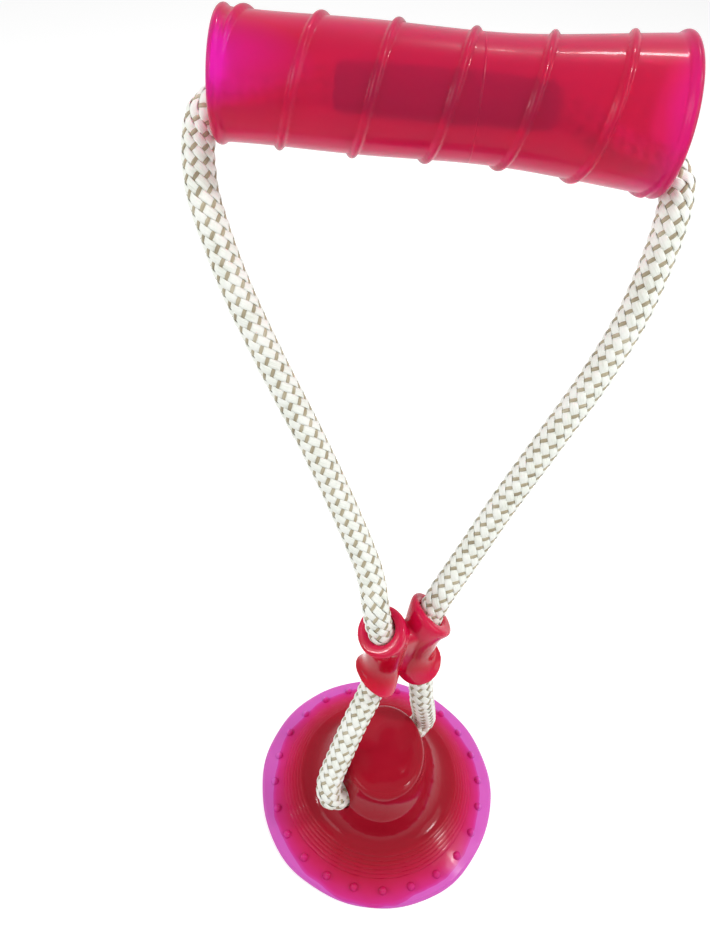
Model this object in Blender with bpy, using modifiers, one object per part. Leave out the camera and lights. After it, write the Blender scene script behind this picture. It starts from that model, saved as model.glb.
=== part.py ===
# Suction cup tug toy: a soft cup with a rope loop through its boss, a sliding bead and a tube grip.
# Metres, +Z up. The cup stands on the floor with its axis on Z, and the grip lies along X.
import bpy
import bmesh
import math
import numpy as np
from mathutils import Matrix, Vector

MM = 0.001

# Clearances and making sizes
GAP = 0.3 * MM
RUN_CLEARANCE = 0.4 * MM
CUT_OVERRUN = 2.0 * MM
MERGE = 0.01 * MM

# Rope
ROPE_DIAMETER = 10.0 * MM
ROPE_STEP = 9.0 * MM
ROPE_RADIUS = ROPE_DIAMETER / 2

# Suction cup: lip, bell, ribbed shoulder and boss
CUP_RIGHT = 7.0 * MM
CUP_FORWARD = 25.6 * MM
CUP_DIAMETER = 100.0 * MM
LIP_WIDTH = 2.6 * MM
RIM_THICKNESS = 1.8 * MM
BRIM_RISE = 3.2 * MM
BRIM_WIDTH = 9.5 * MM
DOME_DEPTH = 10.5 * MM
RING_COUNT = 6
RING_PITCH = 1.3 * MM
RING_DROP = 1.05 * MM
RING_TREAD_SHARE = 0.62
BELL_HEIGHT = 27.0 * MM
BELL_HOLLOW_POWER = 2.2
BELL_POINTS = 7
BOSS_DIAMETER = 32.0 * MM
BOSS_DEPTH = 39.4 * MM
BOSS_FORWARD = 3.2 * MM
BOSS_NECK_DIAMETER = 37.2 * MM
BOSS_TOP = 42.5 * MM
BOSS_ROUND = 2.4 * MM
NUB_COUNT = 24
NUB_INSET = 5.2 * MM
NUB_DIAMETER = 3.3 * MM
NUB_HEIGHT = 2.4 * MM
NUB_SINK = 1.2 * MM
NUB_TAPER_SHARE = 0.72
HOLE_HEIGHT = 26.0 * MM
HOLE_TURN = math.radians(48.0)
HOLE_MOUTH_START = 13.5 * MM
HOLE_MOUTH_END = 22.0 * MM
HOLE_MOUTH_FLARE = 2.0 * MM
HOLE_BEVEL_STEPS = 10
CUP_STEPS = 60
CUP_PLACE = Vector((CUP_RIGHT, -CUP_FORWARD, 0.0))

# Bead: two flared collars joined by a web
BEAD_RIGHT = 1.0 * MM
BEAD_BACK = 12.9 * MM
BEAD_HEIGHT = 92.8 * MM
BEAD_TURN = math.radians(29.0)
BEAD_TIP = math.radians(3.0)
BEAD_ROLL = math.radians(3.0)
COLLAR_WAIST_SPACING = 14.0 * MM
COLLAR_SPLAY = 3.3 * MM
COLLAR_SPLAY_POWER = 3.6
COLLAR_BACK = 1.6 * MM
COLLAR_BACK_POWER = 3.0
COLLAR_ROPE_SPLAY = 3.0 * MM
COLLAR_ROPE_BACK = 0.6 * MM
COLLAR_TAPER = 0.5 * MM
COLLAR_HEIGHT = 29.4 * MM
COLLAR_WALL = 1.5 * MM
COLLAR_FLARE = 2.4 * MM
COLLAR_FLARE_POWER = 4.0
COLLAR_MOUTH_FLARE = 1.7 * MM
COLLAR_MOUTH_FLARE_POWER = 4.0
COLLAR_POINTS = 15
COLLAR_BEVEL_STEPS = 8
WEB_WIDTH = 9.6 * MM
WEB_HEIGHT = 26.0 * MM
WEB_ROUND = 3.2 * MM
BEAD_PLACE = CUP_PLACE + Vector((BEAD_RIGHT, BEAD_BACK, BEAD_HEIGHT))

# Grip: a waisted tube with rolled ends and one spiral rib
GRIP_BACK = 80.0 * MM
GRIP_HEIGHT = 262.0 * MM
GRIP_LENGTH = 124.6 * MM
GRIP_WAIST_DIAMETER = 32.4 * MM
GRIP_WALL = 3.0 * MM
GRIP_FLARE = 4.2 * MM
GRIP_FLARE_SHARES = ((0.0, 0.10), (0.1, 0.03), (0.22, 0.10), (0.33, 0.14), (0.47, 0.05),
                     (0.58, 0.0), (0.68, 0.12), (0.78, 0.38), (0.87, 0.64), (0.94, 0.84), (1.0, 1.0))
GRIP_STATIONS = 15
END_ROLL = 1.9 * MM
END_ROLL_PROUD = 0.9 * MM
RIB_PITCH = 20.4 * MM
RIB_WIDTH = 2.7 * MM
RIB_PROUD_SHARE = 0.42
RIB_START = 7.4 * MM
RIB_START_ANGLE = math.radians(69.4)
RIB_LEAD_SHARE = 0.25
RIB_POINTS_PER_TURN = 16
GRIP_STEPS = 36
GRIP_PLACE = Vector((0.0, GRIP_BACK - CUP_FORWARD, GRIP_HEIGHT))

# Sleeve that joins the two rope ends inside the grip
SLEEVE_LENGTH = 60.0 * MM
SLEEVE_WALL = 1.7 * MM
SLEEVE_STEPS = 24

# Rope routes, chosen by hand in millimetres from the cup's centre. Each starts outside its bead collar.
UPPER_LEFT_ROUTE = ((-10.5, 11.4, 117.6), (-12.7, 16.8, 125.0), (-16.6, 21.9, 133.1), (-25.8, 30.7, 148.9),
                    (-37.7, 40.0, 168.5), (-50.9, 49.0, 189.5), (-63.1, 58.1, 210.6), (-72.0, 67.0, 230.0),
                    (-74.6, 72.6, 238.4), (-75.3, 76.2, 243.4), (-75.2, 78.9, 247.4), (-74.2, 80.8, 250.8),
                    (-71.9, 82.0, 253.3), (-68.6, 82.6, 254.6), (-64.4, 82.7, 255.2), (-58.0, 82.4, 256.3),
                    (-51.0, 81.6, 258.3), (-44.0, 80.6, 260.7))
UPPER_RIGHT_ROUTE = ((12.8, 22.4, 114.8), (16.6, 26.2, 121.9), (20.9, 30.4, 130.4), (29.3, 37.8, 148.6),
                     (40.3, 46.2, 171.6), (50.5, 54.4, 193.0), (57.0, 60.8, 211.8), (60.3, 66.8, 228.6),
                     (61.1, 70.0, 237.6), (61.2, 72.2, 242.7), (60.5, 74.2, 246.6), (58.2, 76.0, 249.4),
                     (54.8, 77.1, 250.8), (50.6, 77.7, 251.5), (44.0, 78.2, 253.0), (36.5, 78.8, 256.2),
                     (29.5, 79.6, 260.0))
LOWER_LEFT_ROUTE = ((-9.3, 3.0, 70.0), (-12.3, -1.5, 63.0), (-15.1, -6.2, 55.5), (-17.6, -10.7, 48.0),
                    (-19.6, -14.0, 41.5), (-20.7, -16.8, 36.4), (-20.4, -18.5, 32.0), (-18.6, -18.9, 28.4),
                    (-15.2, -16.8, 26.4))
LOWER_RIGHT_ROUTE = ((10.8, 15.3, 67.9), (12.0, 13.9, 61.2), (12.9, 13.4, 55.5), (14.6, 14.6, 46.5),
                     (16.0, 16.3, 38.0), (16.7, 17.5, 31.8), (15.9, 17.1, 27.5), (13.6, 15.0, 26.1))


def clear_scene():
    for item in list(bpy.data.objects):
        bpy.data.objects.remove(item, do_unlink=True)


def make_collections():
    parts = bpy.data.collections.new("suction_cup_tug_toy")
    cutters = bpy.data.collections.new("cutters")
    bpy.context.scene.collection.children.link(parts)
    bpy.context.scene.collection.children.link(cutters)
    return parts, cutters


def make_material(name, colour, roughness, metallic=0.0):
    material = bpy.data.materials.new(name)
    material.use_nodes = True
    shader = material.node_tree.nodes["Principled BSDF"]
    shader.inputs["Base Color"].default_value = (*colour, 1.0)
    shader.inputs["Roughness"].default_value = roughness
    shader.inputs["Metallic"].default_value = metallic
    return material


def add_object(name, data, collection):
    item = bpy.data.objects.new(name, data)
    collection.objects.link(item)
    return item


def turned_object(name, profile, steps, collection):
    """Turn an (radius, height) profile, listed down its outer side, about Z."""
    mesh = bpy.data.meshes.new(name)
    vertices = [(radius, 0.0, height) for radius, height in profile]
    edges = [(i, i + 1) for i in range(len(vertices) - 1)]
    mesh.from_pydata(vertices, edges, [])
    item = add_object(name, mesh, collection)
    screw = item.modifiers.new("turn", "SCREW")
    screw.axis = "Z"
    screw.angle = math.tau
    screw.steps = steps
    screw.render_steps = steps
    screw.use_merge_vertices = True
    screw.merge_threshold = MERGE
    return item


def freeze(item):
    """Give an object its evaluated mesh, and drop its modifiers."""
    bpy.context.view_layer.update()
    graph = bpy.context.evaluated_depsgraph_get()
    mesh = bpy.data.meshes.new_from_object(item.evaluated_get(graph))
    if item.type == "CURVE":
        name, matrix = item.name, item.matrix_world.copy()
        collection = item.users_collection[0]
        bpy.data.objects.remove(item, do_unlink=True)
        item = add_object(name, mesh, collection)
        item.matrix_world = matrix
    else:
        item.modifiers.clear()
        item.data = mesh
    shape = bmesh.new()
    shape.from_mesh(item.data)
    bmesh.ops.remove_doubles(shape, verts=shape.verts, dist=MERGE)
    bmesh.ops.recalc_face_normals(shape, faces=shape.faces)
    shape.to_mesh(item.data)
    shape.free()
    return item


def apply_boolean(item, cutter, operation):
    """Cut or join with a tool object, which stays in the cutters collection."""
    cutter.hide_render = True
    cutter.display_type = "WIRE"
    modifier = item.modifiers.new(operation.lower(), "BOOLEAN")
    modifier.operation = operation
    modifier.solver = "EXACT"
    modifier.object = cutter
    bpy.context.view_layer.update()
    graph = bpy.context.evaluated_depsgraph_get()
    item.data = bpy.data.meshes.new_from_object(item.evaluated_get(graph))
    item.modifiers.clear()


def shade_round(item, angle=math.radians(40.0)):
    item.data.shade_smooth()
    item.data.set_sharp_from_angle(angle=angle)


def rounded_corner(centre, radius, start, stop, count):
    """Points on an arc in the profile plane, angles from +radius towards +height."""
    return [(centre[0] + radius * math.cos(a), centre[1] + radius * math.sin(a))
            for a in np.linspace(start, stop, count)]


def smooth_route(points, step):
    """Points at most a step apart on a smooth curve through the route's own points."""
    ends = [2 * points[0] - points[1]] + points + [2 * points[-1] - points[-2]]
    smooth = []
    for before, start, stop, after in zip(ends, ends[1:], ends[2:], ends[3:]):
        parts = math.ceil((stop - start).length / step)
        for k in range(parts):
            t = k / parts
            smooth.append(0.5 * (2 * start + (stop - before) * t
                                 + (2 * before - 5 * start + 4 * stop - after) * t ** 2
                                 + (3 * start - before - 3 * stop + after) * t ** 3))
    smooth.append(points[-1])
    return smooth


def route_length(points):
    return sum((q - p).length for p, q in zip(points, points[1:]))


def tube_object(name, points, radius, resolution, collection, swells=None):
    """A round tube along points. swells scales its radius at each point."""
    curve = bpy.data.curves.new(name, "CURVE")
    curve.dimensions = "3D"
    curve.bevel_depth = radius
    curve.bevel_resolution = resolution
    curve.use_fill_caps = True
    spline = curve.splines.new("POLY")
    spline.points.add(len(points) - 1)
    for i, place in enumerate(points):
        spline.points[i].co = (*place, 1.0)
        spline.points[i].radius = swells[i] if swells else 1.0
    return add_object(name, curve, collection)


def cup_profile():
    """Outer side from the boss top to the lip, then the hollow's dome back to the axis."""
    cup_radius = CUP_DIAMETER / 2
    boss_radius = BOSS_DIAMETER / 2
    neck_radius = BOSS_NECK_DIAMETER / 2
    brim_inner = cup_radius - BRIM_WIDTH
    shoulder_inner = brim_inner - RING_COUNT * RING_PITCH
    brim_top = RIM_THICKNESS + BRIM_RISE
    shoulder_top = brim_top + RING_COUNT * RING_DROP
    profile = [(0.0, BOSS_TOP)]
    profile += rounded_corner((boss_radius - BOSS_ROUND, BOSS_TOP - BOSS_ROUND), BOSS_ROUND,
                              math.pi / 2, 0.0, 4)
    bell_run = shoulder_inner - neck_radius
    bell_rise = BELL_HEIGHT - shoulder_top
    for share in np.linspace(0.0, 1.0, BELL_POINTS)[:-1]:
        hollow = (1.0 - share) ** BELL_HOLLOW_POWER
        profile.append((neck_radius + bell_run * share, shoulder_top + bell_rise * hollow))
    for ring in range(RING_COUNT):
        ring_radius = shoulder_inner + ring * RING_PITCH
        ring_top = shoulder_top - ring * RING_DROP
        profile.append((ring_radius, ring_top))
        profile.append((ring_radius + RING_PITCH * RING_TREAD_SHARE, ring_top - RING_DROP / 4))
    profile.append((brim_inner, brim_top))
    profile.append((cup_radius - NUB_INSET, RIM_THICKNESS + BRIM_RISE * NUB_INSET / BRIM_WIDTH))
    profile.append((cup_radius - RIM_THICKNESS / 4, RIM_THICKNESS))
    profile.append((cup_radius, RIM_THICKNESS / 2))
    profile.append((cup_radius - RIM_THICKNESS / 4, 0.0))
    lip_inner = cup_radius - LIP_WIDTH
    for share in (1.0, 0.97, 0.88, 0.74, 0.55, 0.3):
        profile.append((lip_inner * share, DOME_DEPTH * (1.0 - share ** 2)))
    profile.append((0.0, DOME_DEPTH))
    return profile


def make_boss_oval(cup):
    """Draw the boss out from side to front, fully above the bell and fading down to the shoulder."""
    shoulder_top = RIM_THICKNESS + BRIM_RISE + RING_COUNT * RING_DROP
    for vertex in cup.data.vertices:
        share = min(1.0, max(0.0, (vertex.co.z - shoulder_top) / (BELL_HEIGHT - shoulder_top)))
        vertex.co.y *= 1.0 + share * (BOSS_DEPTH / BOSS_DIAMETER - 1.0)
        vertex.co.y -= share * BOSS_FORWARD


def rope_hole(cutters):
    """A straight bore through the boss. Both mouths open upward, where the rope bends out of them."""
    bore = ROPE_RADIUS + RUN_CLEARANCE
    reach = BOSS_NECK_DIAMETER / 2 + ROPE_DIAMETER + BOSS_FORWARD + CUT_OVERRUN
    runs = ((-reach, 1), (-HOLE_MOUTH_END, 1), (-HOLE_MOUTH_START, 0), (HOLE_MOUTH_START, 0),
            (HOLE_MOUTH_END, 1), (reach, 1))
    turn = Matrix.Rotation(HOLE_TURN, 4, "Z")
    points = [turn @ Vector((run, 0.0, HOLE_HEIGHT + open_share * HOLE_MOUTH_FLARE)) for run, open_share in runs]
    swells = [1.0 + open_share * HOLE_MOUTH_FLARE / bore for _, open_share in runs]
    return freeze(tube_object("rope_hole", points, bore, HOLE_BEVEL_STEPS, cutters, swells))


def make_cup(parts, cutters, material):
    cup = freeze(turned_object("suction_cup", cup_profile(), CUP_STEPS, parts))
    make_boss_oval(cup)
    cup_radius = CUP_DIAMETER / 2
    nub_circle = cup_radius - NUB_INSET
    nub_foot = RIM_THICKNESS + BRIM_RISE * NUB_INSET / BRIM_WIDTH - NUB_SINK
    shape = bmesh.new()
    for i in range(NUB_COUNT):
        angle = math.tau * (i + 0.5) / NUB_COUNT
        place = Matrix.Translation((nub_circle * math.cos(angle), nub_circle * math.sin(angle),
                                    nub_foot + (NUB_HEIGHT + NUB_SINK) / 2))
        bmesh.ops.create_cone(shape, cap_ends=True, segments=8, radius1=NUB_DIAMETER / 2,
                              radius2=NUB_DIAMETER / 2 * NUB_TAPER_SHARE,
                              depth=NUB_HEIGHT + NUB_SINK, matrix=place)
    nubs = bpy.data.meshes.new("nubs")
    shape.to_mesh(nubs)
    shape.free()
    apply_boolean(cup, add_object("nubs", nubs, cutters), "UNION")

    apply_boolean(cup, rope_hole(cutters), "DIFFERENCE")
    cup.location = CUP_PLACE
    cup.data.materials.append(material)
    shade_round(cup)
    return cup


def bead_frame():
    return Matrix.Translation(BEAD_PLACE) @ Matrix.Rotation(BEAD_TURN, 4, "Z") \
        @ Matrix.Rotation(BEAD_TIP, 4, "X") @ Matrix.Rotation(BEAD_ROLL, 4, "Y")


def collar_point(side, share, splay=COLLAR_SPLAY):
    """Middle line of a collar in the bead: side is -1 or +1, share runs from -1 below to +1 above."""
    across = COLLAR_WAIST_SPACING / 2 + COLLAR_TAPER * share + splay * abs(share) ** COLLAR_SPLAY_POWER
    return Vector((side * across, COLLAR_BACK * share ** COLLAR_BACK_POWER, COLLAR_HEIGHT / 2 * share))


def collar_tube(name, side, reach_share, waist, flare, power, collection):
    shares = np.linspace(-reach_share, reach_share, COLLAR_POINTS)
    points = [collar_point(side, share) for share in shares]
    swells = [1.0 + flare / waist * abs(share) ** power for share in shares]
    return freeze(tube_object(name, points, waist, COLLAR_BEVEL_STEPS, collection, swells))


def make_bead(parts, cutters, material):
    bore = ROPE_RADIUS + RUN_CLEARANCE
    waist = bore + COLLAR_WALL
    overrun_share = 1.0 + CUT_OVERRUN / COLLAR_HEIGHT
    web = bmesh.new()
    bmesh.ops.create_cube(web, size=1.0)
    bmesh.ops.scale(web, verts=web.verts, vec=(COLLAR_WAIST_SPACING, WEB_WIDTH, WEB_HEIGHT))
    bmesh.ops.bevel(web, geom=web.edges[:], offset=WEB_ROUND, segments=3, profile=0.5, affect="EDGES")
    mesh = bpy.data.meshes.new("slider_bead")
    web.to_mesh(mesh)
    web.free()
    bead = add_object("slider_bead", mesh, parts)
    for side in (-1, 1):
        collar = collar_tube("collar", side, 1.0, waist, COLLAR_FLARE, COLLAR_FLARE_POWER, cutters)
        apply_boolean(bead, collar, "UNION")
    for side in (-1, 1):
        cutter = collar_tube("collar_bore", side, overrun_share, bore, COLLAR_MOUTH_FLARE,
                             COLLAR_MOUTH_FLARE_POWER, cutters)
        apply_boolean(bead, cutter, "DIFFERENCE")
    bead.matrix_world = bead_frame()
    bead.data.materials.append(material)
    shade_round(bead)
    return bead


def grip_radius(share):
    """Outer radius of the tube at a share of its length from the left end."""
    shares = [s for s, _ in GRIP_FLARE_SHARES]
    flares = [v for _, v in GRIP_FLARE_SHARES]
    width = 0.06
    around = np.linspace(share - width, share + width, 9)
    smooth = float(np.mean(np.interp(np.clip(around, 0.0, 1.0), shares, flares)))
    return GRIP_WAIST_DIAMETER / 2 + GRIP_FLARE * smooth


def grip_frame():
    """Z of the turned tube becomes +X, so height 0 is the grip's middle."""
    return Matrix.Translation(GRIP_PLACE) @ Matrix.Rotation(math.pi / 2, 4, "Y")


def make_grip(parts, cutters, material):
    half = GRIP_LENGTH / 2
    stations = np.linspace(1.0, 0.0, GRIP_STATIONS)
    roll = END_ROLL / 2

    def roll_points(share, end, inside):
        """Outer half of the rolled end, going outwards round it, at one end of the tube."""
        centre_radius = grip_radius(share) - GRIP_WALL / 2
        reach = GRIP_WALL / 2 + END_ROLL_PROUD
        turn = 1 if end > 0 else -1
        angles = (inside, 0.25 * math.pi, 0.0)
        return [(centre_radius + reach * math.cos(a), end * half + turn * (roll * math.sin(a) - roll))
                for a in angles]

    outer = roll_points(1.0, 1, math.pi / 2)
    outer.append((grip_radius(1.0) + END_ROLL_PROUD / 2, half - END_ROLL * 1.3))
    body = [s for s in stations if END_ROLL * 1.6 < s * GRIP_LENGTH < GRIP_LENGTH - END_ROLL * 1.6]
    outer += [(grip_radius(s), (s - 0.5) * GRIP_LENGTH) for s in body]
    outer.append((grip_radius(0.0) + END_ROLL_PROUD / 2, -half + END_ROLL * 1.3))
    outer += reversed(roll_points(0.0, -1, math.pi / 2))
    inner = [(grip_radius(0.0) - GRIP_WALL, -half + roll)]
    inner += [(grip_radius(s) - GRIP_WALL, (s - 0.5) * GRIP_LENGTH) for s in reversed(body)]
    inner.append((grip_radius(1.0) - GRIP_WALL, half - roll))
    profile = outer + inner
    profile.append(profile[0])
    grip = freeze(turned_object("grip", profile, GRIP_STEPS, parts))

    turns = (GRIP_LENGTH - RIB_START - END_ROLL) / RIB_PITCH
    count = round(turns * RIB_POINTS_PER_TURN)
    rib_points = []
    for i in range(-round(RIB_POINTS_PER_TURN * RIB_LEAD_SHARE), count + 1):
        turned = i / RIB_POINTS_PER_TURN
        along = RIB_START + turned * RIB_PITCH
        share = along / GRIP_LENGTH
        radius = grip_radius(share) + RIB_WIDTH * (RIB_PROUD_SHARE - 0.5)
        angle = RIB_START_ANGLE - turned * math.tau
        rib_points.append(Vector((-radius * math.sin(angle), radius * math.cos(angle),
                                  along - half)))
    rib = freeze(tube_object("spiral_rib", rib_points, RIB_WIDTH / 2, 1, cutters))
    apply_boolean(grip, rib, "UNION")
    grip.matrix_world = grip_frame()
    grip.data.materials.append(material)
    shade_round(grip)
    return grip


def make_sleeve(parts, material):
    half = SLEEVE_LENGTH / 2
    bore = ROPE_RADIUS + GAP
    outer = bore + SLEEVE_WALL
    edge = SLEEVE_WALL / 3
    profile = [(bore, half), (outer - edge, half), (outer, half - edge), (outer, -half + edge),
               (outer - edge, -half), (bore, -half), (bore, half)]
    sleeve = freeze(turned_object("splice_sleeve", profile, SLEEVE_STEPS, parts))
    sleeve.matrix_world = grip_frame()
    sleeve.data.materials.append(material)
    shade_round(sleeve)
    return sleeve


def make_rope(parts, material):
    """Four lengths of the one rope. They meet in the sleeve, in the bead and in the boss."""
    along_hole = Vector((math.cos(HOLE_TURN), math.sin(HOLE_TURN), 0.0))
    hole = CUP_PLACE + Vector((0.0, 0.0, HOLE_HEIGHT))
    across_sleeve = Vector((1.0, 0.0, 0.0))
    lengths = {}

    def lay(name, side, end, route, last_points):
        """One length from the bead's middle, through the collar's mouth and along its route."""
        shares = (end * GAP / COLLAR_HEIGHT, end * 0.3, end * 0.6, end * 0.8, end)
        points = [bead_frame() @ (collar_point(side, share, COLLAR_ROPE_SPLAY)
                                  + Vector((0.0, COLLAR_ROPE_BACK * share ** COLLAR_BACK_POWER, 0.0)))
                  for share in shares]
        points += [CUP_PLACE + Vector(p) * MM for p in route] + last_points
        smooth = smooth_route(points, ROPE_STEP)
        rope = tube_object(name, smooth, ROPE_RADIUS, 3, parts)
        rope.data.materials.append(material)
        lengths[name] = route_length(smooth)

    for side, word, upper, lower in ((-1, "left", UPPER_LEFT_ROUTE, LOWER_LEFT_ROUTE),
                                     (1, "right", UPPER_RIGHT_ROUTE, LOWER_RIGHT_ROUTE)):
        into_sleeve = [GRIP_PLACE + side * across_sleeve * (SLEEVE_LENGTH / 2 + GAP),
                       GRIP_PLACE + side * across_sleeve * GAP / 2]
        lay("rope_upper_" + word, side, 1, upper, into_sleeve)
        into_boss = [hole + side * along_hole * BOSS_DIAMETER / 2,
                     hole + side * along_hole * GAP / 2]
        lay("rope_lower_" + word, side, -1, lower, into_boss)
    return lengths


def main():
    clear_scene()
    parts, cutters = make_collections()
    cup_red = make_material("cup_red_clear", (0.55, 0.02, 0.12), 0.18)
    bead_red = make_material("bead_red_clear", (0.50, 0.01, 0.05), 0.15)
    grip_red = make_material("grip_red_clear", (0.58, 0.02, 0.11), 0.20)
    rope_white = make_material("rope_white_braid", (0.80, 0.80, 0.74), 0.85)
    sleeve_dark = make_material("sleeve_dark", (0.05, 0.05, 0.06), 0.45)
    make_cup(parts, cutters, cup_red)
    make_bead(parts, cutters, bead_red)
    make_grip(parts, cutters, grip_red)
    make_sleeve(parts, sleeve_dark)
    lengths = make_rope(parts, rope_white)
    for name, length in lengths.items():
        print(name, "is", round(length / MM, 1), "mm long")


main()
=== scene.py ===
# %% [markdown]
# Suction cup tug toy
# A soft suction cup, a braided rope loop through its boss, a bead on the rope and a tube grip.
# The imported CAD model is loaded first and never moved, so each finer piece made below
# only has to be built in the same metres, at the same place, as the solid that it replaces.

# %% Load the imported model
import math
import bmesh
import bpy
import numpy as np
from mathutils import Euler, Matrix, Vector


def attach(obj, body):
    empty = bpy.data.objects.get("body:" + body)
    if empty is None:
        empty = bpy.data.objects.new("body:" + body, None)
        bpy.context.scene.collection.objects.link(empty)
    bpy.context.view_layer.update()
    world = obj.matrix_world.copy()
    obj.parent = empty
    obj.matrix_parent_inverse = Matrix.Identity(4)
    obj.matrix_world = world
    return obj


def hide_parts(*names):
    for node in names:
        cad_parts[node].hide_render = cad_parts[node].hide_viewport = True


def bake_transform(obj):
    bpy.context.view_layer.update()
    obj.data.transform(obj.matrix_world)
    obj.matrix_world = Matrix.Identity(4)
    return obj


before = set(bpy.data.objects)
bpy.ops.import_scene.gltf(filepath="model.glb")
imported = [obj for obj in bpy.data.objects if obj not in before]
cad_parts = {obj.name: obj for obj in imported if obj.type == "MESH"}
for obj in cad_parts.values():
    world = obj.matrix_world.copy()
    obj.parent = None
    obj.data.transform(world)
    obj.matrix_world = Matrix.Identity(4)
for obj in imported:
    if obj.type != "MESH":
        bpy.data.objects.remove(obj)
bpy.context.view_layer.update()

MM = 0.001

# %% [markdown]
# The camera comes first. A real lens at the photograph's place gives the same foreshortening,
# which no later scaling can fake. The focal length is kept in pixels of the frame's height,
# because that is how it was measured, and is turned into millimetres here.

# %% Camera
FRAME_HEIGHT_PIXELS = 952
FOCAL_PIXELS = 800
CAMERA_PLACE = Vector((-13.15, -172.1, 346.4)) * MM
CAMERA_TURN_DEGREES = (43.671, -3.549, 4.233)
SENSOR_HEIGHT = 24.0
NEAREST_SEEN = 10.0 * MM

camera_data = bpy.data.cameras.new("studio_camera")
camera_data.sensor_fit = "VERTICAL"
camera_data.sensor_height = SENSOR_HEIGHT
camera_data.lens = SENSOR_HEIGHT * FOCAL_PIXELS / FRAME_HEIGHT_PIXELS
camera_data.clip_start = NEAREST_SEEN
camera = bpy.data.objects.new("studio_camera", camera_data)
camera.location = CAMERA_PLACE
camera.rotation_euler = Euler([math.radians(a) for a in CAMERA_TURN_DEGREES])
bpy.context.scene.collection.objects.link(camera)
bpy.context.scene.camera = camera
bpy.context.scene.view_settings.view_transform = "Standard"
print("lens", round(camera_data.lens, 2), "mm on a", SENSOR_HEIGHT, "mm high sensor")

# %% [markdown]
# Small helpers for objects. Each finished piece is a mesh object at the origin, with its place in
# its own vertices. Modifiers are turned into a plain mesh at once, so that every later step works on
# the shape that is really seen.

# %% Helpers for objects
MERGE_DISTANCE = 0.001 * MM


def add_object(name, data):
    item = bpy.data.objects.new(name, data)
    bpy.context.scene.collection.objects.link(item)
    return item


def add_mesh_object(name, vertices, faces, edges=()):
    mesh = bpy.data.meshes.new(name)
    mesh.from_pydata([tuple(v) for v in vertices], list(edges), list(faces))
    return add_object(name, mesh)


def take_evaluated_mesh(item):
    """Give an object the mesh that its modifiers make, and drop the modifiers."""
    graph = bpy.context.evaluated_depsgraph_get()
    mesh = bpy.data.meshes.new_from_object(item.evaluated_get(graph))
    item.modifiers.clear()
    item.data = mesh
    return item


def join_or_cut(item, other, operation):
    """Join another solid to an object or cut it away, and remove that solid."""
    change = item.modifiers.new(operation.lower(), "BOOLEAN")
    change.operation = operation
    change.solver = "EXACT"
    change.object = other
    take_evaluated_mesh(item)
    bpy.data.objects.remove(other, do_unlink=True)


def face_outwards(item):
    """Merge doubled vertices and make every face point out of the solid."""
    shape = bmesh.new()
    shape.from_mesh(item.data)
    bmesh.ops.remove_doubles(shape, verts=shape.verts, dist=MERGE_DISTANCE)
    bmesh.ops.recalc_face_normals(shape, faces=shape.faces)
    shape.to_mesh(item.data)
    shape.free()


def shade(item, sharp_degrees):
    item.data.shade_smooth()
    item.data.set_sharp_from_angle(angle=math.radians(sharp_degrees))


def cover(item, material):
    """Give the whole piece one material."""
    item.data.materials.clear()
    item.data.materials.append(material)


def measure(item):
    """What a piece is made of, and how large it is."""
    triangles = sum(len(face.vertices) - 2 for face in item.data.polygons)
    corners = np.array([tuple(vertex.co) for vertex in item.data.vertices])
    size = [round(float(reach) / MM, 1) for reach in corners.max(axis=0) - corners.min(axis=0)]
    return f"{triangles} triangles, {size} mm"


# %% [markdown]
# Small helpers for nodes. Shader and geometry trees share the same Math nodes, so one set of
# helpers serves both, and a tree reads as a list of steps. They could be drawn by hand in the
# editor, but in a script each size stays a named value that can be changed in one place.

# %% Helpers for nodes
def fill_inputs(tree, node, inputs):
    """Link or set each input, by its name or number."""
    for key, value in inputs.items():
        if isinstance(value, bpy.types.NodeSocket):
            tree.links.new(value, node.inputs[key])
        else:
            node.inputs[key].default_value = value


def add_node(tree, kind, inputs=None, **options):
    """Add a node, set its options, then fill its inputs."""
    node = tree.nodes.new(kind)
    for key, value in options.items():
        setattr(node, key, value)
    fill_inputs(tree, node, inputs or {})
    return node


def calculate(tree, operation, *values):
    """A Math node's result. It works alike in shader and geometry trees."""
    return add_node(tree, "ShaderNodeMath", dict(enumerate(values)), operation=operation).outputs[0]


def calculate_vector(tree, operation, *values):
    return add_node(tree, "ShaderNodeVectorMath", dict(enumerate(values)),
                    operation=operation).outputs[0]


def measure_vector(tree, operation, *values):
    """A Vector Math node's single number, such as a length or a dot product."""
    node = add_node(tree, "ShaderNodeVectorMath", dict(enumerate(values)), operation=operation)
    return node.outputs["Value"]


def scale_vector(tree, vector, factor):
    return add_node(tree, "ShaderNodeVectorMath", {0: vector, "Scale": factor},
                    operation="SCALE").outputs[0]


def combine(tree, x=0.0, y=0.0, z=0.0):
    return add_node(tree, "ShaderNodeCombineXYZ", {0: x, 1: y, 2: z}).outputs[0]


def split(tree, vector):
    return add_node(tree, "ShaderNodeSeparateXYZ", {0: vector}).outputs


def spread_out(tree, value, span, result):
    """A value's run over a span, turned into a run over the result and held at its two ends."""
    return add_node(tree, "ShaderNodeMapRange",
                    {"Value": value, 1: span[0], 2: span[1], 3: result[0], 4: result[1]},
                    clamp=True).outputs[0]


def new_geometry_tree(name, sizes):
    """A tree with geometry in and out, and one named input for each size."""
    tree = bpy.data.node_groups.new(name, "GeometryNodeTree")
    tree.interface.new_socket("Geometry", in_out="INPUT", socket_type="NodeSocketGeometry")
    for label, value in sizes.items():
        kind = "NodeSocketInt" if isinstance(value, int) else "NodeSocketFloat"
        tree.interface.new_socket(label, in_out="INPUT", socket_type=kind).default_value = value
    tree.interface.new_socket("Geometry", in_out="OUTPUT", socket_type="NodeSocketGeometry")
    return tree, tree.nodes.new("NodeGroupInput").outputs, tree.nodes.new("NodeGroupOutput").inputs


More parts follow.
